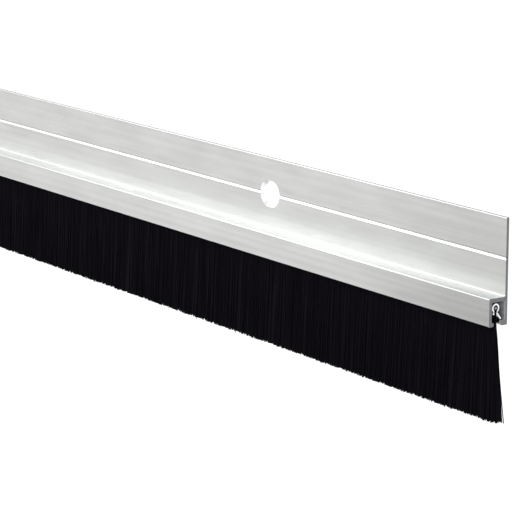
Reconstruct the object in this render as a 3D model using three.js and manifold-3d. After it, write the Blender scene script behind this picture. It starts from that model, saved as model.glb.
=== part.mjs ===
// Door sweep: an aluminium carrier with a screw flange and a channel, and a strip brush that slides in the channel.
// Millimetres. +X runs along the sweep, +Y points at the door and +Z up.
// The origin is on the door face, halfway along, at the height of the screw line.
import * as THREE from 'three';
import { mergeVertices } from 'three/addons/utils/BufferGeometryUtils.js';
import Module from 'manifold-3d';

// Carrier. Heights are measured from the carrier's lower edge, and depths forward from the door face.
const LENGTH = 914;
const CARRIER_HEIGHT = 27;
const CARRIER_DEPTH = 5.9;
const CHANNEL_HEIGHT = 7.2;
const PLATE_THICKNESS = 0.85;
const CHANNEL_ROOF = 1.05;
const FRONT_WALL = 0.95;
const FRONT_LIP_REACH = 0.65;
const FRONT_LIP_HEIGHT = 1.05;
const REAR_FOOT_REACH = 1.75;
const REAR_FOOT_HEIGHT = 1.4;
const EDGE_RADIUS = 0.22;
const CORNER_RADIUS = 0.4;
const LIP_RADIUS = 0.32;
const ROOT_RADIUS = 0.3;

// Screw line: a V-groove with a row of countersunk slots on it.
const SCREW_LINE = 16.85;
const GROOVE_WIDTH = 1.0;
const GROOVE_DEPTH = 0.34;
const SLOT_COUNT = 4;
const SLOT_END_DISTANCE = 100;
const SLOT_RADIUS = 3.75;
const SLOT_TRAVEL = 1.6;
const SLOT_NOSE_RADIUS = 1.9;

// Strip brush: filaments folded over a core wire and gripped by a folded steel strip.
const BACKING_CENTRE_DEPTH = 3.64;
const BACKING_CENTRE_HEIGHT = 4.62;
const BACKING_RADIUS = 1.22;
const BACKING_THICKNESS = 0.38;
const WIRE_RADIUS = 0.42;
const FOLD_INNER_RADIUS = 0.47;
const FOLD_OUTER_RADIUS = 0.79;
const NECK_HEIGHT = 3.35;
const NECK_FRONT_DEPTH = 4.3;
const NECK_REAR_DEPTH = 3.5;
const ROOT_FRONT_DEPTH = 4.2;
const ROOT_REAR_DEPTH = 3.25;

// Free filaments: a curtain of equal bundles that hang from a bending line just under the channel's mouth.
const BUNDLE_COUNT = 36;
const BUNDLE_GAP = 0.3;
const BEND_DEPTH = 3.75;
const BEND_DROP = 1.1;
const BUNDLE_TOP_RADIUS = 0.75;
const TIP_DROP = 23.9;
const TIP_FRONT_DEPTH = 5.75;
const TIP_REAR_DEPTH = 1.75;

const ARC_STEPS = 6;

const wasm = await Module();
wasm.setup();

const aluminium = { color: 0xcfd1d0, roughness: 0.38, metalness: 0.95 };
const galvanisedSteel = { color: 0xd6d9dc, roughness: 0.3, metalness: 1.0 };
const wireSteel = { color: 0x8f9296, roughness: 0.35, metalness: 1.0 };
const blackNylon = { color: 0x0d0c0f, roughness: 0.5, metalness: 0.0 };

// Section coordinates: depth forward of the door face and height above the carrier's lower edge.
const at = (depth, height) => new THREE.Vector2(-depth, height - SCREW_LINE);

// The points of a corner rounded to a radius; the corner itself where the radius is 0.
function roundCorner(before, corner, after, radius) {
  if (radius === 0) return [corner];
  const toBefore = before.clone().sub(corner).normalize();
  const toAfter = after.clone().sub(corner).normalize();
  const halfAngle = Math.acos(toBefore.dot(toAfter)) / 2;
  const bisector = toBefore.clone().add(toAfter).normalize();
  const centre = corner.clone().addScaledVector(bisector, radius / Math.sin(halfAngle));
  const start = corner.clone().addScaledVector(toBefore, radius / Math.tan(halfAngle)).sub(centre);
  const end = corner.clone().addScaledVector(toAfter, radius / Math.tan(halfAngle)).sub(centre);
  const sweep = Math.atan2(start.cross(end), start.dot(end));
  const points = [];
  for (let i = 0; i <= ARC_STEPS; i++) {
    const turned = start.clone().rotateAround(new THREE.Vector2(), (sweep * i) / ARC_STEPS);
    points.push(turned.add(centre));
  }
  return points;
}

// A closed outline from corners given as [point, radius].
function roundedOutline(corners) {
  const count = corners.length;
  return corners.flatMap(([point, radius], i) =>
    roundCorner(corners[(i + count - 1) % count][0], point, corners[(i + 1) % count][0], radius));
}

// The points of an arc in section coordinates; angles run from the front (0) over the top (90) to the rear (180).
function sectionArc(depth, height, radius, from, to, steps) {
  const points = [];
  for (let i = 0; i <= steps; i++) {
    const angle = THREE.MathUtils.degToRad(from + ((to - from) * i) / steps);
    points.push(at(depth + radius * Math.cos(angle), height + radius * Math.sin(angle)));
  }
  return points;
}

// A section extruded along X from one end to the other.
function extrudeAlong(outline, from, to, hole) {
  const shape = new THREE.Shape(outline);
  if (hole) shape.holes.push(new THREE.Path(hole));
  const geometry = new THREE.ExtrudeGeometry(shape, { depth: to - from, bevelEnabled: false });
  const sectionToPart = new THREE.Matrix4().makeBasis(
    new THREE.Vector3(0, 1, 0),
    new THREE.Vector3(0, 0, 1),
    new THREE.Vector3(1, 0, 0),
  );
  geometry.applyMatrix4(sectionToPart);
  geometry.translate(from, 0, 0);
  return geometry;
}

function toManifold(geometry) {
  const bare = geometry.clone();
  bare.deleteAttribute('normal');
  bare.deleteAttribute('uv');
  const merged = mergeVertices(bare, 1e-5);
  return new wasm.Manifold(new wasm.Mesh({
    numProp: 3,
    vertProperties: new Float32Array(merged.attributes.position.array),
    triVerts: new Uint32Array(merged.index.array),
  }));
}

function toGeometry(solid) {
  const mesh = solid.getMesh();
  const geometry = new THREE.BufferGeometry();
  geometry.setAttribute('position', new THREE.BufferAttribute(mesh.vertProperties, 3));
  geometry.setIndex(new THREE.BufferAttribute(mesh.triVerts, 1));
  geometry.computeVertexNormals();
  return geometry;
}

function named(name, geometry, finish) {
  const mesh = new THREE.Mesh(geometry, new THREE.MeshStandardMaterial(finish));
  mesh.name = name;
  return mesh;
}

// Carrier section: plate, V-groove, channel roof and front wall, with a lip and a foot that narrow the mouth.
function carrierOutline() {
  const innerFront = CARRIER_DEPTH - FRONT_WALL;
  const roofUnderside = CHANNEL_HEIGHT - CHANNEL_ROOF;
  const lipNose = innerFront - FRONT_LIP_REACH;
  const footNose = PLATE_THICKNESS + REAR_FOOT_REACH;
  return roundedOutline([
    [at(0, 0), EDGE_RADIUS],
    [at(0, CARRIER_HEIGHT), EDGE_RADIUS],
    [at(PLATE_THICKNESS, CARRIER_HEIGHT), EDGE_RADIUS],
    [at(PLATE_THICKNESS, SCREW_LINE + GROOVE_WIDTH / 2), 0],
    [at(PLATE_THICKNESS - GROOVE_DEPTH, SCREW_LINE), 0],
    [at(PLATE_THICKNESS, SCREW_LINE - GROOVE_WIDTH / 2), 0],
    [at(PLATE_THICKNESS, CHANNEL_HEIGHT), ROOT_RADIUS],
    [at(CARRIER_DEPTH, CHANNEL_HEIGHT), CORNER_RADIUS],
    [at(CARRIER_DEPTH, 0), CORNER_RADIUS],
    [at(lipNose, 0), LIP_RADIUS],
    [at(lipNose, FRONT_LIP_HEIGHT), LIP_RADIUS],
    [at(innerFront, FRONT_LIP_HEIGHT), ROOT_RADIUS],
    [at(innerFront, roofUnderside), ROOT_RADIUS],
    [at(PLATE_THICKNESS, roofUnderside), ROOT_RADIUS],
    [at(PLATE_THICKNESS, REAR_FOOT_HEIGHT), ROOT_RADIUS],
    [at(footNose, REAR_FOOT_HEIGHT), LIP_RADIUS],
    [at(footNose, REAR_FOOT_HEIGHT / 2), LIP_RADIUS],
    [at(footNose - REAR_FOOT_REACH / 2, 0), CORNER_RADIUS],
  ]);
}

// A plug whose 45 degree bevel is the countersink, and whose small end leaves through the door face.
function slotPlug(x) {
  const bevel = SLOT_RADIUS - SLOT_NOSE_RADIUS + PLATE_THICKNESS;
  const shape = new THREE.Shape();
  shape.absarc(SLOT_TRAVEL / 2, 0, SLOT_NOSE_RADIUS, -Math.PI / 2, Math.PI / 2);
  shape.absarc(-SLOT_TRAVEL / 2, 0, SLOT_NOSE_RADIUS, Math.PI / 2, (3 * Math.PI) / 2);
  const geometry = new THREE.ExtrudeGeometry(shape, {
    depth: bevel,
    bevelThickness: bevel,
    bevelSize: bevel,
    bevelSegments: 1,
    curveSegments: 20,
  });
  geometry.rotateX(Math.PI / 2);
  const noseDepth = PLATE_THICKNESS - (SLOT_RADIUS - SLOT_NOSE_RADIUS);
  geometry.translate(x, -noseDepth - bevel, 0);
  return geometry;
}

function carrier() {
  let solid = toManifold(extrudeAlong(carrierOutline(), -LENGTH / 2, LENGTH / 2));
  const pitch = (LENGTH - 2 * SLOT_END_DISTANCE) / (SLOT_COUNT - 1);
  for (let i = 0; i < SLOT_COUNT; i++) {
    const x = -LENGTH / 2 + SLOT_END_DISTANCE + i * pitch;
    solid = solid.subtract(toManifold(slotPlug(x)));
  }
  return named('carrier', toGeometry(solid), aluminium);
}

// Outline of a strip of even thickness whose middle follows a line of points.
function stripOutline(middle, thickness) {
  const side = (sign) => middle.map((point, i) => {
    const back = middle[Math.max(i - 1, 0)];
    const ahead = middle[Math.min(i + 1, middle.length - 1)];
    const along = ahead.clone().sub(back).normalize();
    return new THREE.Vector2(-along.y, along.x).multiplyScalar((sign * thickness) / 2).add(point);
  });
  return [...side(1), ...side(-1).reverse()];
}

// Steel strip folded over the wire, pinched on the filaments, with its rear leg spread onto the carrier's foot.
function backingStrip() {
  const radius = BACKING_RADIUS - BACKING_THICKNESS / 2;
  const frontLegDepth = NECK_FRONT_DEPTH + BACKING_THICKNESS / 2;
  const rearLegDepth = NECK_REAR_DEPTH - BACKING_THICKNESS / 2;
  const restHeight = REAR_FOOT_HEIGHT + BACKING_THICKNESS;
  const middle = [
    at(frontLegDepth, NECK_HEIGHT - 0.35),
    at(frontLegDepth, NECK_HEIGHT),
    ...sectionArc(BACKING_CENTRE_DEPTH, BACKING_CENTRE_HEIGHT, radius, -15, 195, 18),
    at(rearLegDepth, NECK_HEIGHT),
    at(rearLegDepth - 0.3, NECK_HEIGHT - 0.4),
    at(PLATE_THICKNESS + REAR_FOOT_REACH - 0.45, restHeight),
  ];
  const geometry = extrudeAlong(stripOutline(middle, BACKING_THICKNESS), -LENGTH / 2, LENGTH / 2);
  return named('backing_strip', geometry, galvanisedSteel);
}

function coreWire() {
  const section = sectionArc(BACKING_CENTRE_DEPTH, BACKING_CENTRE_HEIGHT, WIRE_RADIUS, 0, 345, 23);
  return named('core_wire', extrudeAlong(section, -LENGTH / 2, LENGTH / 2), wireSteel);
}

// The folded, gripped part of the filaments: over the wire, through the neck and down to the channel's mouth.
function filamentRoots() {
  const over = sectionArc(BACKING_CENTRE_DEPTH, BACKING_CENTRE_HEIGHT, FOLD_OUTER_RADIUS, -30, 210, 20);
  const outline = [
    at(ROOT_FRONT_DEPTH, 0),
    at(NECK_FRONT_DEPTH - 0.06, NECK_HEIGHT),
    ...over,
    at(NECK_REAR_DEPTH + 0.06, NECK_HEIGHT),
    at(ROOT_REAR_DEPTH, 0),
  ];
  const wirePassage = sectionArc(BACKING_CENTRE_DEPTH, BACKING_CENTRE_HEIGHT, FOLD_INNER_RADIUS, 345, 0, 23);
  const geometry = extrudeAlong(outline, -LENGTH / 2, LENGTH / 2, wirePassage);
  return named('filament_roots', geometry, blackNylon);
}

// Section of a bundle: a round top on the bending line, and sides that spread quickly and then evenly to the tips.
function bundleOutline() {
  const top = sectionArc(BEND_DEPTH, -BEND_DROP, BUNDLE_TOP_RADIUS, 0, 180, 10);
  const spread = (tipDepth, side) => {
    const start = at(BEND_DEPTH + side * BUNDLE_TOP_RADIUS, -BEND_DROP);
    const knee = at(BEND_DEPTH + side * BUNDLE_TOP_RADIUS * 1.7, -BEND_DROP - TIP_DROP / 4);
    return new THREE.QuadraticBezierCurve(start, knee, at(tipDepth, -TIP_DROP)).getPoints(5);
  };
  const front = spread(TIP_FRONT_DEPTH, 1).reverse();
  const rear = spread(TIP_REAR_DEPTH, -1);
  return [...front, ...top.slice(1, -1), ...rear];
}

function filamentBundles() {
  const bundles = [];
  const pitch = LENGTH / BUNDLE_COUNT;
  const outline = bundleOutline();
  for (let i = 0; i < BUNDLE_COUNT; i++) {
    const from = -LENGTH / 2 + i * pitch + BUNDLE_GAP / 2;
    const name = `filament_bundle_${String(i + 1).padStart(2, '0')}`;
    bundles.push(named(name, extrudeAlong(outline, from, from + pitch - BUNDLE_GAP), blackNylon));
  }
  return bundles;
}

const brushInsert = new THREE.Group();
brushInsert.add(backingStrip(), coreWire(), filamentRoots());

const curtain = new THREE.Group();
curtain.add(...filamentBundles());
brushInsert.add(curtain);

const doorSweep = new THREE.Group();
doorSweep.add(carrier(), brushInsert);

export default doorSweep;
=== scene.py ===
"""A door sweep: an extruded aluminium carrier with a strip brush held in its channel."""

import math

import bmesh
import bpy
import numpy as np
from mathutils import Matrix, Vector


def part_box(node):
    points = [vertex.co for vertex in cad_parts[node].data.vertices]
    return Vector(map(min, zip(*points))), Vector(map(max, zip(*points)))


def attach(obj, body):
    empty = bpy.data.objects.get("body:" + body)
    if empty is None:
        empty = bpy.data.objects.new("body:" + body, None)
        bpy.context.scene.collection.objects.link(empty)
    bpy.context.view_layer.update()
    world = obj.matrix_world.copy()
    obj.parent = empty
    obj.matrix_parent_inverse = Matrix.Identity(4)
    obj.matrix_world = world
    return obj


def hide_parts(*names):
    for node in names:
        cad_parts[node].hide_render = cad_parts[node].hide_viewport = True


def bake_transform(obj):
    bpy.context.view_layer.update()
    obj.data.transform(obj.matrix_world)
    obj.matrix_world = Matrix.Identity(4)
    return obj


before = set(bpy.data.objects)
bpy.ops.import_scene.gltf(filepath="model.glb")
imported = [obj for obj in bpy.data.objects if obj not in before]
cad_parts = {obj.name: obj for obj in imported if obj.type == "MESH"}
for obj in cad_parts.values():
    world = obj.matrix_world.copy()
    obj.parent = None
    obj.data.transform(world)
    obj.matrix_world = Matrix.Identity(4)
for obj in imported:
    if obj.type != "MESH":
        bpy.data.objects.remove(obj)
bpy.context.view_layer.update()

MM = 0.001

# Places taken from the frame. Heights count from the carrier's lower edge, depths forward from the door face.
carrier_low, carrier_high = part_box("carrier")
DOOR_FACE = carrier_high.y
LOWER_EDGE = carrier_low.z
LEFT_END = carrier_low.x
RIGHT_END = carrier_high.x
CARRIER_HEIGHT = carrier_high.z - carrier_low.z
CARRIER_DEPTH = carrier_high.y - carrier_low.y
SCREW_LINE = -LOWER_EDGE

# Camera, placed from the corner where the right end, the door face and the lower edge meet.
CAMERA_OFFSET = Vector((450.36, -390.67, 149.54)) * MM
CAMERA_PITCH = math.radians(12.57)
CAMERA_TURN = math.radians(55.02)
CAMERA_LENS = 174.36
CAMERA_SENSOR = 36.0

# Studio.
WORLD_LIGHT = 0.8
FLOOR_WHITE = 0.5
FLOOR_SEEN = 1.05
FLOOR_REACH = 20
FLOOR_DROP = 0.35
LIGHTS_AIM = (0.33, 0, 0)
KEY_TINT = (0.94, 1.0, 0.985)

# Carrier section.
CHANNEL_HEIGHT = 7.2 * MM
PLATE_THICKNESS = 0.85 * MM
CHANNEL_ROOF = 1.05 * MM
FRONT_WALL = 0.95 * MM
FRONT_LIP_REACH = 0.65 * MM
FRONT_LIP_HEIGHT = 1.05 * MM
REAR_FOOT_REACH = 1.75 * MM
REAR_FOOT_HEIGHT = 1.4 * MM
EDGE_RADIUS = 0.22 * MM
TOP_FRONT_RADIUS = 0.26 * MM
TOP_REAR_RADIUS = 0.06 * MM
CORNER_RADIUS = 0.4 * MM
LIP_RADIUS = 0.32 * MM
ROOT_RADIUS = 0.3 * MM
GROOVE_WIDTH = 1.0 * MM
GROOVE_DEPTH = 0.34 * MM
GROOVE_RADIUS = 0.05 * MM
SAW_CHAMFER = 0.06 * MM
CARRIER_SHARP_ANGLE = math.radians(28)

# Screw slots.
SLOT_COUNT = 4
SLOT_END_DISTANCE = 100 * MM
SLOT_RADIUS = 3.75 * MM
SLOT_TRAVEL = 1.6 * MM
SLOT_NOSE_RADIUS = 1.9 * MM

# Strip brush in the channel.
BACKING_CENTRE_DEPTH = 3.78 * MM
BACKING_CENTRE_HEIGHT = 4.7 * MM
BACKING_RADIUS = 1.14 * MM
BACKING_THICKNESS = 0.42 * MM
BACKING_ARC = (-48, 228)
BACKING_CHAMFER = 0.03 * MM
WIRE_CENTRE_DEPTH = 3.78 * MM
WIRE_CENTRE_HEIGHT = 4.68 * MM
WIRE_RADIUS = 0.42 * MM
WIRE_SIDES = 48
WIRE_CHAMFER = 0.05 * MM
FOLD_RADIUS = 0.57 * MM
FOLD_RECESS = 0.9 * MM
FOLD_GAP = 0.02 * MM
FOLD_ARC = (-45, 225)
FOLD_NECK_SHARE = 0.75
FOLD_CHAMFER = 0.05 * MM
LOOP_RADII = (0.54 * MM, 0.6 * MM)
LOOP_JITTER = 0.02 * MM
LOOP_PITCH = 0.2 * MM
LOOP_SEED = 11
NECK_HEIGHT = 3.35 * MM
NECK_FRONT_DEPTH = 4.3 * MM
NECK_REAR_DEPTH = 3.5 * MM
BRUSH_SHARP_ANGLE = math.radians(35)

# Legs of the backing strip, as steps away from its pinch in depth and down.
PINCH_HEIGHT = NECK_HEIGHT + 0.25 * MM
PINCH_FRONT_DEPTH = NECK_FRONT_DEPTH - 0.02 * MM
PINCH_REAR_DEPTH = NECK_REAR_DEPTH - 0.05 * MM
FRONT_LEG_BEND = (0.08 * MM, 0.24 * MM)
FRONT_LEG_END = (0.26 * MM, 0.55 * MM)
REAR_LEG_BEND = (0.2 * MM, 0.35 * MM)
REAR_LEG_REST = 0.45 * MM

# Filaments.
FILAMENT_RADIUS = 0.12 * MM
FILAMENT_PITCH = 0.3 * MM
FILAMENT_LAYERS = 6
FILAMENT_SIDES = 4
FILAMENT_SEED = 7
LAYER_SHARES = (0.1, 0.9)
BEND_DROP = 1.1 * MM
TIP_DROP = 23.9 * MM
END_SPLAY = 1.3 * MM
END_SPLAY_REACH = 12.0 * MM
CORE_SHARE = 0.82
CORE_COLUMN = 1.0 * MM
CORE_TO_TIP = 0.35 * MM
CORE_TUFT = 0.12 * MM
REAR_TIP_DROP = 0.8 * MM
STATION_SHARES = np.array([0.0, 0.09, 0.22, 0.4, 0.66, 1.0])

# The curtain's half depth and its centre, at the bend, the mouth and the neck.
CURTAIN_HALF_DEPTHS = (0.62 * MM, 0.42 * MM, 0.3 * MM)
CURTAIN_CENTRE_DEPTHS = (3.75 * MM, 3.73 * MM, 3.9 * MM)
CURTAIN_KNEE_HALF_DEPTH = 1.25 * MM
CURTAIN_TIP_HALF_DEPTH = 1.95 * MM

# How the strands stray: across the curtain, along the sweep, and at the trimmed edge.
ACROSS_STRAY = 0.22
STRAND_LEAN = 0.13 * MM
TUFT_LEAN = 0.3 * MM
TRIM_STRAY = 0.04 * MM
TRIM_WAVE = 0.15 * MM
LONG_STRAND_SHARE = 0.002
LONG_STRAND_EXCESS = (0.2 * MM, 0.8 * MM)
LEAN_WAVELENGTHS = (1.7 * MM, 3.9 * MM, 11 * MM)
TRIM_WAVELENGTHS = (2.3 * MM, 6.1 * MM, 17 * MM)

# How a strand's sideways reach grows with the share of its free length.
LEAN_GROWTH = 1.3
SPLAY_GROWTH = 0.75
END_SPLAY_GROWTH = 1.15

# Tones of the skin: darker towards both ends, most of all on the front wall, and a painted reflection of the
# channel roof that lightens the flange above the channel.
END_DARKENING_LENGTH = 70 * MM
WALL_TONE_DEPTHS = (CARRIER_DEPTH / 2, CARRIER_DEPTH * 0.9)
WALL_END_DARKENING = 0.31
FLANGE_END_DARKENING = 0.1
# Painted reflection of the channel roof on the flange: its height and strength.
PAINTED_REFLECTION_HEIGHT = 9.0 * MM
PAINTED_REFLECTION_GAIN = 0.14

ARC_STEPS = 10


# Section helpers. A section point is (y, z) in metres.


def at(depth, height):
    return Vector((DOOR_FACE - depth, LOWER_EDGE + height))


def round_corner(before, corner, after, radius):
    """The points of a corner rounded to a radius."""
    if radius == 0:
        return [corner]
    to_before = (before - corner).normalized()
    to_after = (after - corner).normalized()
    half_angle = to_before.angle(to_after) / 2
    centre = corner + (to_before + to_after).normalized() * radius / math.sin(half_angle)
    start = corner + to_before * radius / math.tan(half_angle) - centre
    end = corner + to_after * radius / math.tan(half_angle) - centre
    sweep = math.atan2(start.x * end.y - start.y * end.x, start.dot(end))
    points = []
    for i in range(ARC_STEPS + 1):
        angle = sweep * i / ARC_STEPS
        c, s = math.cos(angle), math.sin(angle)
        points.append(centre + Vector((start.x * c - start.y * s, start.x * s + start.y * c)))
    return points


def rounded_outline(corners):
    count = len(corners)
    outline = []
    for i, (point, radius) in enumerate(corners):
        outline += round_corner(corners[i - 1][0], point, corners[(i + 1) % count][0], radius)
    return outline


def section_arc(depth, height, radius, first, last, steps):
    """Arc points in the section; angles run from the front (0) over the top (90) to the rear (180)."""
    points = []
    for i in range(steps + 1):
        angle = math.radians(first + (last - first) * i / steps)
        points.append(at(depth + radius * math.cos(angle), height + radius * math.sin(angle)))
    return points


def strip_outline(middle, thickness):
    """Outline of a strip of even thickness whose middle follows a line of points."""
    sides = {1: [], -1: []}
    for i, point in enumerate(middle):
        along = (middle[min(i + 1, len(middle) - 1)] - middle[max(i - 1, 0)]).normalized()
        across = Vector((-along.y, along.x)) * thickness / 2
        for sign in sides:
            sides[sign].append(point + across * sign)
    return sides[1] + sides[-1][::-1]


def inset(outline, amount):
    """The outline moved inwards by a small amount. Works for either winding."""
    count = len(outline)
    area = sum(outline[i - 1].x * outline[i].y - outline[i].x * outline[i - 1].y for i in range(count))
    turn = 1 if area > 0 else -1
    moved = []
    for i, point in enumerate(outline):
        along = (outline[(i + 1) % count] - outline[i - 1]).normalized()
        moved.append(point + Vector((-along.y, along.x)) * turn * amount)
    return moved


# Mesh helpers.


def add_object(name, mesh):
    piece = bpy.data.objects.new(name, mesh)
    bpy.context.scene.collection.objects.link(piece)
    return piece


def sweep_along(name, outline, first, last, chamfer):
    """A section swept along X, with a small chamfer at both cut ends."""
    shrunk = inset(outline, chamfer)
    stations = [(first, shrunk), (first + chamfer, outline), (last - chamfer, outline), (last, shrunk)]
    count = len(outline)
    points = [(x, p.x, p.y) for x, section in stations for p in section]
    faces = [tuple(range(count)), tuple(reversed(range(3 * count, 4 * count)))]
    for s in range(3):
        for i in range(count):
            j = (i + 1) % count
            faces.append((s * count + j, s * count + i, (s + 1) * count + i, (s + 1) * count + j))
    mesh = bpy.data.meshes.new(name)
    mesh.from_pydata(points, [], faces)
    outward(mesh)
    return mesh


def outward(mesh):
    work = bmesh.new()
    work.from_mesh(mesh)
    bmesh.ops.recalc_face_normals(work, faces=work.faces)
    work.to_mesh(mesh)
    work.free()


def baked_modifiers(piece):
    """Replaces the piece's mesh by what its modifiers make of it."""
    graph = bpy.context.evaluated_depsgraph_get()
    mesh = bpy.data.meshes.new_from_object(piece.evaluated_get(graph), depsgraph=graph)
    piece.modifiers.clear()
    piece.data = mesh


def crisp_shading(piece, angle):
    """Smooth over the radii, sharp over real edges, and flat faces kept flat."""
    piece.data.shade_smooth()
    piece.data.set_sharp_from_angle(angle=angle)
    weighted = piece.modifiers.new("weighted", "WEIGHTED_NORMAL")
    weighted.keep_sharp = True
    weighted.mode = "FACE_AREA"
    baked_modifiers(piece)


def paint_cut_ends(piece, skin, cut):
    """Skin material all over, and the cut material on the faces that look along X at the two ends."""
    piece.data.materials.clear()
    piece.data.materials.append(skin)
    piece.data.materials.append(cut)
    low = min(v.co.x for v in piece.data.vertices)
    high = max(v.co.x for v in piece.data.vertices)
    for face in piece.data.polygons:
        at_end = min(face.center.x - low, high - face.center.x) < 0.01 * MM
        face.material_index = 1 if at_end else 0


def paint_slots(piece, centres, machined):
    """The machined material on the sloping faces of the screw slots."""
    piece.data.materials.append(machined)
    index = len(piece.data.materials) - 1
    reach = SLOT_RADIUS + 0.1 * MM
    for face in piece.data.polygons:
        x, _, z = face.center
        beside = min(max(abs(x - c) - SLOT_TRAVEL / 2, 0) for c in centres)
        if math.hypot(beside, z) < reach and abs(face.normal.y) < 0.9:
            face.material_index = index


def paint_channel(piece, rough_and_painted_light):
    """The rough material with painted light on the inner face of the channel's rear wall."""
    piece.data.materials.append(rough_and_painted_light)
    index = len(piece.data.materials) - 1
    for face in piece.data.polygons:
        depth = DOOR_FACE - face.center.y
        height = face.center.z - LOWER_EDGE
        on_wall = abs(depth - PLATE_THICKNESS) < ROOT_RADIUS / 2
        inside = REAR_FOOT_HEIGHT < height < CHANNEL_HEIGHT - CHANNEL_ROOF
        if on_wall and inside and abs(face.normal.x) < 0.5:
            face.material_index = index


# Material helpers.


def new_material(name):
    material = bpy.data.materials.new(name)
    material.use_nodes = True
    shader = material.node_tree.nodes["Principled BSDF"]
    return material, material.node_tree, shader


def noise(tree, scale, detail=2.0, roughness=0.5):
    """Noise in the piece's own coordinates, stretched by a scale for each axis, in cells a metre."""
    coordinates = tree.nodes.new("ShaderNodeTexCoord")
    mapping = tree.nodes.new("ShaderNodeMapping")
    mapping.inputs["Scale"].default_value = scale
    texture = tree.nodes.new("ShaderNodeTexNoise")
    texture.inputs["Scale"].default_value = 1.0
    texture.inputs["Detail"].default_value = detail
    texture.inputs["Roughness"].default_value = roughness
    tree.links.new(coordinates.outputs["Object"], mapping.inputs["Vector"])
    tree.links.new(mapping.outputs["Vector"], texture.inputs["Vector"])
    return texture.outputs["Fac"]


def spread(tree, value, low, high):
    """Maps a noise value, which mostly lies between 0.3 and 0.7, onto low to high."""
    remap = tree.nodes.new("ShaderNodeMapRange")
    remap.inputs["From Min"].default_value = 0.3
    remap.inputs["From Max"].default_value = 0.7
    remap.inputs["To Min"].default_value = low
    remap.inputs["To Max"].default_value = high
    tree.links.new(value, remap.inputs["Value"])
    return remap.outputs["Result"]


def math_node(tree, operation, *values):
    """A sum, product or other result of sockets and numbers."""
    node = tree.nodes.new("ShaderNodeMath")
    node.operation = operation
    for socket, value in zip(node.inputs, values):
        if isinstance(value, bpy.types.NodeSocket):
            tree.links.new(value, socket)
        else:
            socket.default_value = value
    return node.outputs[0]


def ramp(tree, value, nothing, full):
    """0 where the value is at the first limit, 1 where it is at the second, smooth between them."""
    remap = tree.nodes.new("ShaderNodeMapRange")
    remap.interpolation_type = "SMOOTHSTEP"
    remap.inputs["From Min"].default_value = nothing
    remap.inputs["From Max"].default_value = full
    tree.links.new(value, remap.inputs["Value"])
    return remap.outputs["Result"]


def average(tree, *values):
    total = values[0]
    for value in values[1:]:
        total = math_node(tree, "ADD", total, value)
    return math_node(tree, "DIVIDE", total, len(values))


def two_tone(tree, value, dark, light):
    """A colour between two tones, by a noise value."""
    mix = tree.nodes.new("ShaderNodeMix")
    mix.data_type = "RGBA"
    mix.inputs["A"].default_value = (*dark, 1)
    mix.inputs["B"].default_value = (*light, 1)
    tree.links.new(spread(tree, value, 0, 1), mix.inputs["Factor"])
    return mix.outputs["Result"]


def bump(tree, height, strength, distance):
    node = tree.nodes.new("ShaderNodeBump")
    node.inputs["Strength"].default_value = strength
    node.inputs["Distance"].default_value = distance
    tree.links.new(height, node.inputs["Height"])
    return node.outputs["Normal"]


def along_tangent(tree):
    """A tangent across the die lines, so that highlights stretch across them."""
    node = tree.nodes.new("ShaderNodeTangent")
    node.direction_type = "RADIAL"
    node.axis = "X"
    return node.outputs["Tangent"]


def skin_tone_and_painted_reflection(tree):
    """The skin's tone as a factor on its colour: darker towards both ends, and lighter above the channel by a
    painted reflection of the channel roof.
    """
    coordinates = tree.nodes.new("ShaderNodeTexCoord")
    place = tree.nodes.new("ShaderNodeSeparateXYZ")
    tree.links.new(coordinates.outputs["Object"], place.inputs[0])

    # Darker towards both ends, most of all on the front wall.
    from_middle = math_node(tree, "ABSOLUTE", place.outputs["X"])
    near_end = ramp(tree, from_middle, RIGHT_END - END_DARKENING_LENGTH, RIGHT_END)
    on_wall = ramp(tree, place.outputs["Y"], *(DOOR_FACE - depth for depth in WALL_TONE_DEPTHS))
    loss = math_node(tree, "MULTIPLY_ADD", on_wall, WALL_END_DARKENING - FLANGE_END_DARKENING, FLANGE_END_DARKENING)
    darkened_ends = math_node(tree, "MULTIPLY", near_end, loss)

    # Painted reflection: the flange is lightened for a short height above the channel roof, standing in for
    # the roof's light seen in the plate.
    roof = LOWER_EDGE + CHANNEL_HEIGHT
    near_roof = ramp(tree, place.outputs["Z"], roof + PAINTED_REFLECTION_HEIGHT, roof)
    flange_front = DOOR_FACE - PLATE_THICKNESS
    on_flange = ramp(tree, place.outputs["Y"], flange_front - ROOT_RADIUS, flange_front - ROOT_RADIUS / 4)
    reflection_area = math_node(tree, "MULTIPLY", near_roof, on_flange)
    painted_roof_reflection = math_node(tree, "MULTIPLY", reflection_area, PAINTED_REFLECTION_GAIN)

    return math_node(tree, "ADD", math_node(tree, "SUBTRACT", painted_roof_reflection, darkened_ends), 1.0)


def scaled_colour(tree, colour, factor):
    node = tree.nodes.new("ShaderNodeVectorMath")
    node.operation = "SCALE"
    tree.links.new(colour, node.inputs[0])
    tree.links.new(factor, node.inputs["Scale"])
    return node.outputs[0]


def extruded_aluminium():
    """Mill-finish extrusion: fine die lines along X and soft streaky clouds."""
    material, tree, shader = new_material("extruded_aluminium")
    fine = noise(tree, (9, 5200, 5200), detail=3)
    broad = noise(tree, (2.5, 900, 900), detail=2)
    clouds = noise(tree, (55, 260, 260), detail=4, roughness=0.6)
    lines = average(tree, fine, broad)
    shader.inputs["Metallic"].default_value = 1.0
    shader.inputs["Anisotropic"].default_value = 0.82
    tone = two_tone(tree, average(tree, broad, clouds), (0.452, 0.455, 0.446), (0.552, 0.555, 0.545))
    # The colour is darker towards both ends and carries a painted reflection of the channel roof on the
    # flange above the channel.
    tree.links.new(scaled_colour(tree, tone, skin_tone_and_painted_reflection(tree)), shader.inputs["Base Color"])
    tree.links.new(spread(tree, average(tree, fine, clouds), 0.28, 0.38), shader.inputs["Roughness"])
    tree.links.new(bump(tree, lines, 0.35, 0.012 * MM), shader.inputs["Normal"])
    tree.links.new(along_tangent(tree), shader.inputs["Tangent"])
    return material


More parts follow.
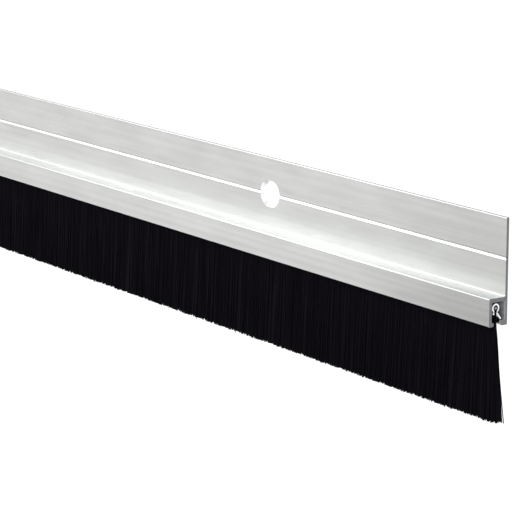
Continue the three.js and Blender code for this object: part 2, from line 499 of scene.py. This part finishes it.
def channel_aluminium_painted_light():
    """Rear wall inside the channel: the same metal, matt, because nothing rubs it bright, and painted lighter
    and bluer than the skin as light that falls in through the channel's open end.
    """
    material, tree, shader = new_material("channel_aluminium_painted_light")
    grime = noise(tree, (30, 2600, 2600), detail=3)
    shader.inputs["Metallic"].default_value = 1.0
    # Painted light: a lighter, bluer tone than the skin on the wall inside the channel.
    tree.links.new(two_tone(tree, grime, (0.5, 0.51, 0.53), (0.66, 0.67, 0.69)), shader.inputs["Base Color"])
    tree.links.new(spread(tree, grime, 0.8, 0.95), shader.inputs["Roughness"])
    tree.links.new(bump(tree, grime, 0.4, 0.02 * MM), shader.inputs["Normal"])
    return material


def sawn_aluminium_painted_shade():
    """Cut end of the extrusion: duller, with saw marks across it, and painted much darker than the skin as
    shade on the end faces.
    """
    material, tree, shader = new_material("sawn_aluminium_painted_shade")
    marks = noise(tree, (3000, 700, 9000), detail=3)
    shader.inputs["Metallic"].default_value = 1.0
    # Painted shade: a dark tone on the end faces.
    tree.links.new(two_tone(tree, marks, (0.13, 0.13, 0.14), (0.29, 0.29, 0.30)), shader.inputs["Base Color"])
    tree.links.new(spread(tree, marks, 0.42, 0.62), shader.inputs["Roughness"])
    tree.links.new(bump(tree, marks, 0.6, 0.03 * MM), shader.inputs["Normal"])
    return material


def machined_aluminium():
    """Freshly cut slots: brighter than the skin, with fine turning marks round them."""
    material, tree, shader = new_material("machined_aluminium")
    marks = noise(tree, (1200, 9000, 1200), detail=2)
    shader.inputs["Metallic"].default_value = 1.0
    tone = two_tone(tree, marks, (0.86, 0.87, 0.87), (0.95, 0.95, 0.95))
    tree.links.new(tone, shader.inputs["Base Color"])
    tree.links.new(spread(tree, marks, 0.28, 0.4), shader.inputs["Roughness"])
    tree.links.new(bump(tree, marks, 0.3, 0.01 * MM), shader.inputs["Normal"])
    return material


def galvanised_steel():
    """Zinc-coated strip: small spangles, rolled lines and a satin shine."""
    material, tree, shader = new_material("galvanised_steel")
    coordinates = tree.nodes.new("ShaderNodeTexCoord")
    spangle = tree.nodes.new("ShaderNodeTexVoronoi")
    spangle.inputs["Scale"].default_value = 900
    tree.links.new(coordinates.outputs["Object"], spangle.inputs["Vector"])
    rolled = noise(tree, (40, 6000, 6000), detail=2)
    shader.inputs["Metallic"].default_value = 1.0
    cell = average(tree, spangle.outputs["Distance"], rolled)
    tree.links.new(two_tone(tree, cell, (0.74, 0.76, 0.78), (0.86, 0.87, 0.88)), shader.inputs["Base Color"])
    tree.links.new(spread(tree, cell, 0.22, 0.36), shader.inputs["Roughness"])
    tree.links.new(bump(tree, rolled, 0.2, 0.01 * MM), shader.inputs["Normal"])
    return material


def cut_steel():
    """Bright sheared end of the strip."""
    material, tree, shader = new_material("cut_steel")
    shear = noise(tree, (2000, 4000, 9000), detail=3)
    shader.inputs["Metallic"].default_value = 1.0
    tree.links.new(two_tone(tree, shear, (0.88, 0.89, 0.9), (0.98, 0.98, 0.98)), shader.inputs["Base Color"])
    tree.links.new(spread(tree, shear, 0.3, 0.5), shader.inputs["Roughness"])
    tree.links.new(bump(tree, shear, 0.3, 0.02 * MM), shader.inputs["Normal"])
    return material


def drawn_wire():
    """Drawn steel wire, with lines along it."""
    material, tree, shader = new_material("drawn_wire")
    lines = noise(tree, (30, 9000, 9000), detail=2)
    shader.inputs["Metallic"].default_value = 1.0
    tree.links.new(two_tone(tree, lines, (0.20, 0.21, 0.22), (0.30, 0.31, 0.32)), shader.inputs["Base Color"])
    tree.links.new(spread(tree, lines, 0.32, 0.48), shader.inputs["Roughness"])
    tree.links.new(bump(tree, lines, 0.2, 0.01 * MM), shader.inputs["Normal"])
    return material


def black_nylon():
    """Black nylon filament: each strand a little different, nearly matt."""
    material, tree, shader = new_material("black_nylon")
    strand = noise(tree, (4200, 4200, 35), detail=1)
    tuft = noise(tree, (420, 420, 18), detail=2)
    value = average(tree, strand, tuft)
    shader.inputs["Specular IOR Level"].default_value = 0.03
    colour = two_tone(tree, value, (0.0035, 0.0027, 0.0047), (0.0039, 0.0031, 0.0052))
    tree.links.new(colour, shader.inputs["Base Color"])
    tree.links.new(spread(tree, value, 0.78, 0.92), shader.inputs["Roughness"])
    return material


# Carrier.


def carrier_outline():
    inner_front = CARRIER_DEPTH - FRONT_WALL
    roof_underside = CHANNEL_HEIGHT - CHANNEL_ROOF
    lip_nose = inner_front - FRONT_LIP_REACH
    foot_nose = PLATE_THICKNESS + REAR_FOOT_REACH
    return rounded_outline([
        (at(0, 0), EDGE_RADIUS),
        (at(0, CARRIER_HEIGHT), TOP_REAR_RADIUS),
        (at(PLATE_THICKNESS, CARRIER_HEIGHT), TOP_FRONT_RADIUS),
        (at(PLATE_THICKNESS, SCREW_LINE + GROOVE_WIDTH / 2), GROOVE_RADIUS),
        (at(PLATE_THICKNESS - GROOVE_DEPTH, SCREW_LINE), GROOVE_RADIUS),
        (at(PLATE_THICKNESS, SCREW_LINE - GROOVE_WIDTH / 2), GROOVE_RADIUS),
        (at(PLATE_THICKNESS, CHANNEL_HEIGHT), ROOT_RADIUS),
        (at(CARRIER_DEPTH, CHANNEL_HEIGHT), CORNER_RADIUS),
        (at(CARRIER_DEPTH, 0), CORNER_RADIUS),
        (at(lip_nose, 0), LIP_RADIUS),
        (at(lip_nose, FRONT_LIP_HEIGHT), LIP_RADIUS),
        (at(inner_front, FRONT_LIP_HEIGHT), ROOT_RADIUS),
        (at(inner_front, roof_underside), ROOT_RADIUS),
        (at(PLATE_THICKNESS, roof_underside), ROOT_RADIUS),
        (at(PLATE_THICKNESS, REAR_FOOT_HEIGHT), ROOT_RADIUS),
        (at(foot_nose, REAR_FOOT_HEIGHT), LIP_RADIUS),
        (at(foot_nose, REAR_FOOT_HEIGHT / 2), LIP_RADIUS),
        (at(foot_nose - REAR_FOOT_REACH / 2, 0), CORNER_RADIUS),
    ])


def slot_ring(x, radius, depth, steps):
    """One level of a slot: a long hole of that radius, at that depth."""
    points = []
    for side, first in ((1, -90), (-1, 90)):
        for i in range(steps + 1):
            angle = math.radians(first + 180 * i / steps)
            px = x + side * SLOT_TRAVEL / 2 + radius * math.cos(angle)
            points.append((px, DOOR_FACE - depth, radius * math.sin(angle)))
    return points


def slot_cutter(x):
    """A 45 degree countersink with a soft rim. Its small end leaves through the door face."""
    steps = 32
    beyond = 0.6 * MM
    rim = 0.05 * MM
    nose_depth = PLATE_THICKNESS - (SLOT_RADIUS - SLOT_NOSE_RADIUS)
    levels = [
        (SLOT_NOSE_RADIUS, nose_depth),
        (SLOT_RADIUS, PLATE_THICKNESS),
        (SLOT_RADIUS + rim, PLATE_THICKNESS + rim),
        (SLOT_RADIUS + rim, PLATE_THICKNESS + beyond),
    ]
    rings = [slot_ring(x, radius, depth, steps) for radius, depth in levels]
    count = len(rings[0])
    faces = [tuple(range(count)), tuple(reversed(range((len(rings) - 1) * count, len(rings) * count)))]
    for r in range(len(rings) - 1):
        for i in range(count):
            j = (i + 1) % count
            faces.append((r * count + i, r * count + j, (r + 1) * count + j, (r + 1) * count + i))
    mesh = bpy.data.meshes.new("slot_cutter")
    mesh.from_pydata([p for ring in rings for p in ring], [], faces)
    outward(mesh)
    return add_object("slot_cutter", mesh)


def make_carrier(skin, cut, machined, rough_and_painted_light):
    mesh = sweep_along("carrier_extrusion", carrier_outline(), LEFT_END, RIGHT_END, SAW_CHAMFER)
    piece = add_object("carrier_extrusion", mesh)
    pitch = (RIGHT_END - LEFT_END - 2 * SLOT_END_DISTANCE) / (SLOT_COUNT - 1)
    centres = [LEFT_END + SLOT_END_DISTANCE + i * pitch for i in range(SLOT_COUNT)]
    cutters = [slot_cutter(x) for x in centres]
    for cutter in cutters:
        cut_slot = piece.modifiers.new("slot", "BOOLEAN")
        cut_slot.operation = "DIFFERENCE"
        cut_slot.solver = "EXACT"
        cut_slot.object = cutter
    baked_modifiers(piece)
    for cutter in cutters:
        bpy.data.objects.remove(cutter)
    crisp_shading(piece, CARRIER_SHARP_ANGLE)
    paint_cut_ends(piece, skin, cut)
    paint_slots(piece, centres, machined)
    paint_channel(piece, rough_and_painted_light)
    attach(piece, "carrier")
    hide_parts("carrier")


# Strip brush backing, core wire and the folded filaments.


def make_backing(skin, cut):
    """A folded strip: a ring round the filaments, a pinched neck, a short front leg and a long rear one."""
    low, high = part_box("backing_strip")
    radius = BACKING_RADIUS - BACKING_THICKNESS / 2
    rest_height = REAR_FOOT_HEIGHT + BACKING_THICKNESS
    middle = [
        at(PINCH_FRONT_DEPTH + FRONT_LEG_END[0], PINCH_HEIGHT - FRONT_LEG_END[1]),
        at(PINCH_FRONT_DEPTH + FRONT_LEG_BEND[0], PINCH_HEIGHT - FRONT_LEG_BEND[1]),
        at(PINCH_FRONT_DEPTH, PINCH_HEIGHT),
        *section_arc(BACKING_CENTRE_DEPTH, BACKING_CENTRE_HEIGHT, radius, *BACKING_ARC, 60),
        at(PINCH_REAR_DEPTH, PINCH_HEIGHT),
        at(PINCH_REAR_DEPTH - REAR_LEG_BEND[0], PINCH_HEIGHT - REAR_LEG_BEND[1]),
        at(PLATE_THICKNESS + REAR_FOOT_REACH - REAR_LEG_REST, rest_height),
    ]
    outline = strip_outline(middle, BACKING_THICKNESS)
    mesh = sweep_along("brush_backing", outline, low.x, high.x, BACKING_CHAMFER)
    piece = add_object("brush_backing", mesh)
    crisp_shading(piece, BRUSH_SHARP_ANGLE)
    paint_cut_ends(piece, skin, cut)
    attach(piece, "brush_insert")
    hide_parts("backing_strip")


def make_core_wire(skin):
    low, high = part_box("core_wire")
    last = 360 - 360 / WIRE_SIDES
    section = section_arc(WIRE_CENTRE_DEPTH, WIRE_CENTRE_HEIGHT, WIRE_RADIUS, 0, last, WIRE_SIDES - 1)
    mesh = sweep_along("brush_core_wire", section, low.x, high.x, WIRE_CHAMFER)
    piece = add_object("brush_core_wire", mesh)
    crisp_shading(piece, BRUSH_SHARP_ANGLE)
    piece.data.materials.append(skin)
    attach(piece, "brush_insert")
    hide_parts("core_wire")


def tubes(rings):
    """Points and faces of closed tubes with flat ends. rings is tubes x stations x FILAMENT_SIDES x 3."""
    count, stages, sides = rings.shape[:3]
    first = (np.arange(count)[:, None] * stages + np.arange(stages - 1)[None]).reshape(-1) * sides
    faces = []
    for k in range(sides):
        n = (k + 1) % sides
        faces.append(np.stack([first + k, first + sides + k, first + sides + n, first + n], axis=1))
    near = np.arange(count)[:, None] * stages * sides
    faces.append(near + np.arange(sides))
    faces.append(near + (stages - 1) * sides + np.arange(sides)[::-1])
    return rings.reshape(-1, 3), np.concatenate(faces)


def strand_mesh(paths, radius):
    """Standing strands, level in section. paths is strands x stations x 3."""
    turn = np.arange(FILAMENT_SIDES) * 2 * math.pi / FILAMENT_SIDES + math.pi / 4
    ring = np.stack([np.cos(turn), np.sin(turn), np.zeros(FILAMENT_SIDES)], axis=1) * radius
    return tubes(paths[:, :, None, :] + ring[None, None])


def joined_mesh(name, *parts):
    """One mesh of several parts, each given as points and four-sided faces."""
    mesh = bpy.data.meshes.new(name)
    shifts = np.cumsum([0] + [len(points) for points, _ in parts[:-1]])
    points = np.concatenate([points for points, _ in parts])
    faces = np.concatenate([faces + shift for (_, faces), shift in zip(parts, shifts)])
    mesh.from_pydata(points.tolist(), [], faces.tolist())
    mesh.shade_smooth()
    return mesh


def fold_line(radius, steps):
    """Middle line of a filament bent over the core wire, from the front of the neck to its rear."""
    half_neck = (NECK_FRONT_DEPTH - NECK_REAR_DEPTH) / 2 * radius / LOOP_RADII[-1] * FOLD_NECK_SHARE
    neck_centre = (NECK_FRONT_DEPTH + NECK_REAR_DEPTH) / 2
    return [
        at(neck_centre + half_neck, NECK_HEIGHT),
        *section_arc(WIRE_CENTRE_DEPTH, WIRE_CENTRE_HEIGHT, radius, *FOLD_ARC, steps),
        at(neck_centre - half_neck, NECK_HEIGHT),
    ]


def make_fold(skin):
    """The filaments folded over the core wire, as one solid fold short of both cut ends."""
    low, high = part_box("filament_roots")
    band = (FOLD_RADIUS - WIRE_RADIUS) * 2 - FOLD_GAP
    outline = strip_outline(fold_line(FOLD_RADIUS, 40), band)
    mesh = sweep_along("filament_fold", outline, low.x + FOLD_RECESS, high.x - FOLD_RECESS, FOLD_CHAMFER)
    piece = add_object("filament_fold", mesh)
    crisp_shading(piece, BRUSH_SHARP_ANGLE)
    piece.data.materials.append(skin)
    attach(piece, "brush_insert")
    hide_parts("filament_roots")


def bent_strand(x, line):
    """Square rings round a middle line in the section at x."""
    rings = []
    for i, point in enumerate(line):
        along = line[min(i + 1, len(line) - 1)] - line[max(i - 1, 0)]
        across = Vector((-along.y, along.x)).normalized() * FILAMENT_RADIUS
        out, back = point + across, point - across
        rings.append([
            (x - FILAMENT_RADIUS, out.x, out.y),
            (x + FILAMENT_RADIUS, out.x, out.y),
            (x + FILAMENT_RADIUS, back.x, back.y),
            (x - FILAMENT_RADIUS, back.x, back.y),
        ])
    return rings


def make_fold_loops(skin):
    """The last filaments at both cut ends, each bent over the core wire on its own."""
    low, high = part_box("filament_roots")
    random = np.random.default_rng(LOOP_SEED)
    loops = []
    for end, inwards in ((low.x, 1), (high.x, -1)):
        for i in range(round(FOLD_RECESS / LOOP_PITCH)):
            for layer, radius in enumerate(LOOP_RADII):
                x = end + inwards * (FILAMENT_RADIUS + (i + layer / 2) * LOOP_PITCH)
                jitter = random.uniform(-LOOP_JITTER, LOOP_JITTER)
                loops.append(bent_strand(x, fold_line(radius + jitter, 18)))
    piece = add_object("filament_fold_loops", joined_mesh("filament_fold_loops", tubes(np.array(loops))))
    outward(piece.data)
    piece.data.materials.append(skin)
    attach(piece, "brush_insert")


# Free filaments.


def ripple(random, wavelengths):
    """A smooth irregular curve along the sweep, between about -1 and 1."""
    waves = [(2 * math.pi / w, random.uniform(0, 2 * math.pi)) for w in wavelengths]

    def curve(x):
        return sum(np.sin(x * rate + phase) for rate, phase in waves) / len(waves)

    return curve


def curtain_half_depth(height):
    """Half the depth of the curtain at a height: gripped in the neck, then flaring below the mouth."""
    t = np.clip((-BEND_DROP - height) / (TIP_DROP - BEND_DROP), 0, 1)
    flare = (1 - t) ** 2 * CURTAIN_HALF_DEPTHS[0] + 2 * t * (1 - t) * CURTAIN_KNEE_HALF_DEPTH
    below = flare + t**2 * CURTAIN_TIP_HALF_DEPTH
    above = np.interp(height, [-BEND_DROP, 0, NECK_HEIGHT], CURTAIN_HALF_DEPTHS)
    return np.where(height > -BEND_DROP, above, below)


def curtain_centre_depth(height):
    return np.interp(height, [-BEND_DROP, 0, NECK_HEIGHT], CURTAIN_CENTRE_DEPTHS)


def end_splay(x):
    """How far the tips spread outwards near the two ends of the sweep."""
    to_right = 1 - np.clip((RIGHT_END - x) / END_SPLAY_REACH, 0, 1)
    to_left = 1 - np.clip((x - LEFT_END) / END_SPLAY_REACH, 0, 1)
    return END_SPLAY * (to_right**END_SPLAY_GROWTH - to_left**END_SPLAY_GROWTH)


def trim_slope(side):
    """Slope of the trimmed edge: the rear filaments (side -1) are longer than the front ones (side 1)."""
    return -REAR_TIP_DROP * (1 - side) / 2


def stations(tip):
    """Heights from the neck through the bend to the tips, and the share of the free length at each."""
    above = np.tile([NECK_HEIGHT, 0, -BEND_DROP], (len(tip), 1))
    below = -BEND_DROP + (tip + BEND_DROP)[:, None] * STATION_SHARES[None, 1:]
    return np.hstack([above, below]), np.hstack([[0, 0], STATION_SHARES])[None]


def core_mesh(first, last, ripples):
    """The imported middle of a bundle, where strands can't be told apart, as one closed solid."""
    columns = round((last - first) / CORE_COLUMN) + 1
    x = np.linspace(first, last, columns)
    sides = []
    for side in (1, -1):
        tip = -TIP_DROP + CORE_TO_TIP + ripples["trim"](x) * TRIM_WAVE + trim_slope(side * CORE_SHARE)
        heights, shares = stations(tip)
        along = x[:, None] + end_splay(x)[:, None] * shares**SPLAY_GROWTH
        tufts = ripples["lean"](x)[:, None] * shares * CORE_TUFT
        depth = curtain_centre_depth(heights) + side * (curtain_half_depth(heights) * CORE_SHARE + tufts)
        sides.append(np.stack([along, DOOR_FACE - depth, LOWER_EDGE + heights], axis=2))
    points = np.concatenate([side.reshape(-1, 3) for side in sides])
    rows = heights.shape[1]
    front = np.arange(columns * rows).reshape(columns, rows)
    rear = front + columns * rows
    rim = np.concatenate([front[:, 0], front[-1, 1:], front[-2::-1, -1], front[0, -2:0:-1]])
    faces = []
    for c in range(columns - 1):
        for r in range(rows - 1):
            faces.append((front[c, r], front[c, r + 1], front[c + 1, r + 1], front[c + 1, r]))
            faces.append((rear[c, r], rear[c + 1, r], rear[c + 1, r + 1], rear[c, r + 1]))
    for a, b in zip(rim, np.roll(rim, -1)):
        faces.append((a, b, b + columns * rows, a + columns * rows))
    return points, np.array(faces)


def filament_paths(random, first, last, ripples):
    """Centre lines of the filaments that leave the channel between two places along the sweep."""
    count = round((last - first) / FILAMENT_PITCH)
    total = count * FILAMENT_LAYERS
    layer = np.repeat(np.arange(FILAMENT_LAYERS), count)
    place = np.tile(np.arange(count), FILAMENT_LAYERS) + random.uniform(0, 1, total)
    x = first + place * (last - first) / count
    across = (layer + random.uniform(*LAYER_SHARES, total)) / FILAMENT_LAYERS * 2 - 1
    across_tip = np.clip(across + random.normal(0, ACROSS_STRAY, total), -1, 1)
    lean = random.normal(0, STRAND_LEAN, total) + ripples["lean"](x) * TUFT_LEAN
    trim = random.normal(0, TRIM_STRAY, total) + ripples["trim"](x) * TRIM_WAVE + trim_slope(across_tip)
    too_long = random.uniform(0, 1, total) < LONG_STRAND_SHARE
    tip = -TIP_DROP + trim - np.where(too_long, random.uniform(*LONG_STRAND_EXCESS, total), 0)
    heights, shares = stations(tip)
    side = across[:, None] * (1 - shares) + across_tip[:, None] * shares
    depth = curtain_centre_depth(heights) + side * curtain_half_depth(heights)
    splay = end_splay(x)[:, None] * shares**SPLAY_GROWTH
    along = x[:, None] + lean[:, None] * shares**LEAN_GROWTH + splay
    return np.stack([along, DOOR_FACE - depth, LOWER_EDGE + heights], axis=2)


def make_filaments(skin):
    random = np.random.default_rng(FILAMENT_SEED)
    ripples = {"lean": ripple(random, LEAN_WAVELENGTHS), "trim": ripple(random, TRIM_WAVELENGTHS)}
    bundles = sorted(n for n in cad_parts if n.startswith("filament_bundle_"))
    width = (RIGHT_END - LEFT_END) / len(bundles)
    for i, bundle in enumerate(bundles):
        first = LEFT_END + i * width
        paths = filament_paths(random, first, first + width, ripples)
        name = bundle.replace("filament_bundle", "filaments")
        core = core_mesh(first, first + width, ripples)
        piece = add_object(name, joined_mesh(name, core, strand_mesh(paths, FILAMENT_RADIUS)))
        piece.data.materials.append(skin)
        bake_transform(piece)
        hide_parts(bundle)


# Camera, light and floor.


def make_camera():
    data = bpy.data.cameras.new("camera")
    data.lens = CAMERA_LENS
    data.sensor_width = CAMERA_SENSOR
    data.clip_start = 0.01
    data.clip_end = 100
    camera = add_object("camera", data)
    camera.location = Vector((RIGHT_END, DOOR_FACE, LOWER_EDGE)) + CAMERA_OFFSET
    camera.rotation_euler = (math.pi / 2 - CAMERA_PITCH, 0, CAMERA_TURN)
    bpy.context.scene.camera = camera


def soft_light(name, place, side, power, tint=(1, 1, 1)):
    """A square light that looks at the right part of the sweep."""
    data = bpy.data.lights.new(name, "AREA")
    data.size = side
    data.energy = power
    data.color = tint
    light = add_object(name, data)
    light.location = place
    light.rotation_euler = (Vector(LIGHTS_AIM) - Vector(place)).to_track_quat("-Z", "Y").to_euler()
    light.visible_camera = False


def floor_material():
    """Matt white floor with an even glow, so that it stays pure white under soft light."""
    material, _, shader = new_material("floor_white")
    shader.inputs["Base Color"].default_value = (FLOOR_WHITE, FLOOR_WHITE, FLOOR_WHITE, 1)
    shader.inputs["Roughness"].default_value = 0.9
    shader.inputs["Specular IOR Level"].default_value = 0.0
    shader.inputs["Emission Color"].default_value = (1, 1, 1, 1)
    shader.inputs["Emission Strength"].default_value = FLOOR_SEEN - FLOOR_WHITE * WORLD_LIGHT
    return material


def studio_world():
    world = bpy.data.worlds.new("studio")
    world.use_nodes = True
    background = world.node_tree.nodes["Background"]
    background.inputs["Color"].default_value = (1, 1, 1, 1)
    background.inputs["Strength"].default_value = WORLD_LIGHT
    return world


def make_studio():
    bpy.context.scene.world = studio_world()
    bpy.context.scene.view_settings.view_transform = "Standard"
    soft_light("key", (-1.17, -0.74, 1.10), 0.6, 6.8, KEY_TINT)
    soft_light("front", (-1.17, -1.04, 0.81), 0.6, 4.4)
    soft_light("side", (-1.47, -0.69, 0.54), 0.6, 2.3)
    soft_light("top", (0.85, -1.6, 0.95), 1.4, 6)

    mesh = bpy.data.meshes.new("floor")
    sides = ((-1, -1), (1, -1), (1, 1), (-1, 1))
    corners = [(x * FLOOR_REACH, y * FLOOR_REACH, -FLOOR_DROP) for x, y in sides]
    mesh.from_pydata(corners, [], [(0, 1, 2, 3)])
    floor = add_object("floor", mesh)
    mesh.materials.append(floor_material())


make_camera()
make_studio()

aluminium = extruded_aluminium()
sawn_and_shaded = sawn_aluminium_painted_shade()
machined = machined_aluminium()
rough_and_painted_light = channel_aluminium_painted_light()
zinc = galvanised_steel()
sheared = cut_steel()
wire = drawn_wire()
nylon = black_nylon()

make_carrier(aluminium, sawn_and_shaded, machined, rough_and_painted_light)
make_backing(zinc, sheared)
make_core_wire(wire)
make_fold(nylon)
make_fold_loops(nylon)
make_filaments(nylon)
